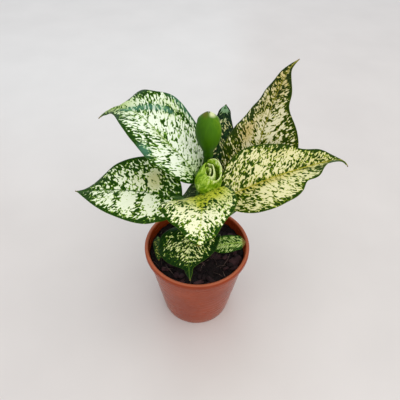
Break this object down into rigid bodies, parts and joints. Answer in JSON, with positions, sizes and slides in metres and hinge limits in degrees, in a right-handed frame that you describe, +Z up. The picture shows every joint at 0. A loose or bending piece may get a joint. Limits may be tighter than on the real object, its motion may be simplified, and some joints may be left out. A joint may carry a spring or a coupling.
{
  "type": "potted chinese evergreen",
  "caption": "Variegated Chinese evergreen with pointed arching leaves, a rolled new leaf and a green flower hood, growing in a round tapered plastic nursery pot.",
  "frame": {"origin": "on the floor, at the centre of the underside of the pot", "axes": "+Z up, +X along the plant's widest spread towards the large right leaf, -Y towards the viewer and the low front leaves"},
  "size_m": [0.2573, 0.1816, 0.2391],
  "materials": {
    "pot_plastic": "glossy terracotta plastic",
    "soil": "matte damp bark compost",
    "stem": "satin green cane",
    "leaf_cream": "semi-gloss leaf, cream with green specks and a green margin",
    "leaf_green": "semi-gloss dark green leaf with pale specks",
    "new_leaf": "semi-gloss yellow-green leaf",
    "flower_green": "smooth satin green",
    "flower_white": "matte cream"
  },
  "bodies": {
    "root": {"pot": "pot_plastic", "soil": "soil", "stem": "stem", "leaf_upper_left": "leaf_cream", "leaf_left": "leaf_cream", "leaf_upper_right": "leaf_cream", "leaf_right": "leaf_cream", "leaf_front": "leaf_cream", "leaf_front_low": "leaf_green", "leaf_back": "leaf_green", "leaf_small_right": "leaf_green", "leaf_small_left": "leaf_green", "rolled_leaf": "new_leaf", "flower_hood": "flower_green", "spadix": "flower_white"}
  },
  "joints": []
}
